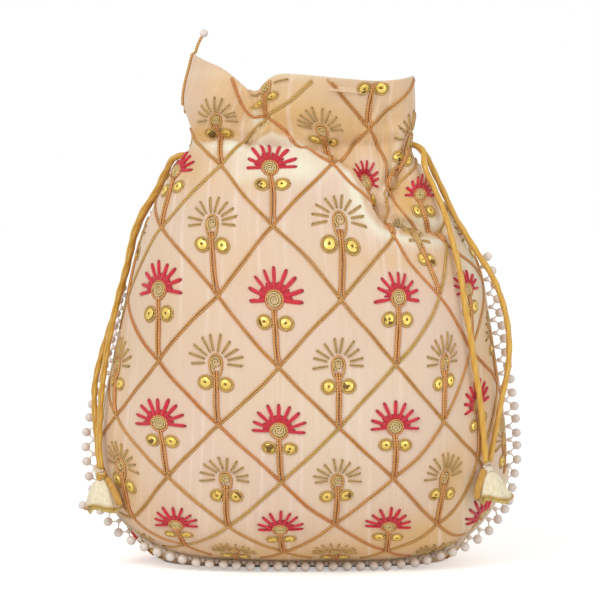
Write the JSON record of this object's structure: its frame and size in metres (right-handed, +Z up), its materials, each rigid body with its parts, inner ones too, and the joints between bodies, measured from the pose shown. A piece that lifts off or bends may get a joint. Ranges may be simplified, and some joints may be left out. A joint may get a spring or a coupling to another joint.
{
  "type": "potli bag",
  "caption": "Standing drawstring pouch of embroidered silk with a gathered neck, a ruffled mouth, two drawcords with cloth bell tassels and pearl lace round its seam",
  "frame": {"origin": "centre of the footprint, on the surface that the pouch stands on", "axes": "X across the pouch, Y from the embroidered front to the back, Z up"},
  "size_m": [0.1859, 0.108, 0.2246],
  "materials": {
    "silk": "raw silk with slubs",
    "lining": "plain lining cloth",
    "zari": "metallic couched thread",
    "red_thread": "satin stitch",
    "pearl": "pearl beads on thread",
    "cord": "satin cord"
  },
  "bodies": {
    "root": {"back_panel": "silk", "cord_left_back": "cord", "cord_left_front": "cord", "cord_left_held": "cord", "cord_right_back": "cord", "cord_right_front": "cord", "cord_right_held": "cord", "edge_tail": "pearl", "front_panel": "silk", "lining": "lining", "pearl_trim": "pearl", "red_fan_back_3_1": "red_thread", "red_fan_back_3_3": "red_thread", "red_fan_back_3_5": "red_thread", "red_fan_back_3_7": "red_thread", "red_fan_back_5_1": "red_thread", "red_fan_back_5_3": "red_thread", "red_fan_back_5_5": "red_thread", "red_fan_back_5_7": "red_thread", "red_fan_back_7_1": "red_thread", "red_fan_back_7_3": "red_thread", "red_fan_back_7_5": "red_thread", "red_fan_front_1_1": "red_thread", "red_fan_front_1_3": "red_thread", "red_fan_front_1_5": "red_thread", "red_fan_front_3_1": "red_thread", "red_fan_front_3_3": "red_thread", "red_fan_front_3_5": "red_thread", "red_fan_front_3_7": "red_thread", "red_fan_front_5_1": "red_thread", "red_fan_front_5_3": "red_thread", "red_fan_front_5_5": "red_thread", "red_fan_front_7_3": "red_thread", "red_fan_front_7_5": "red_thread", "tassel_left": "silk", "tassel_right": "silk", "zari_back": "zari", "zari_front": "zari"}
  },
  "joints": []
}
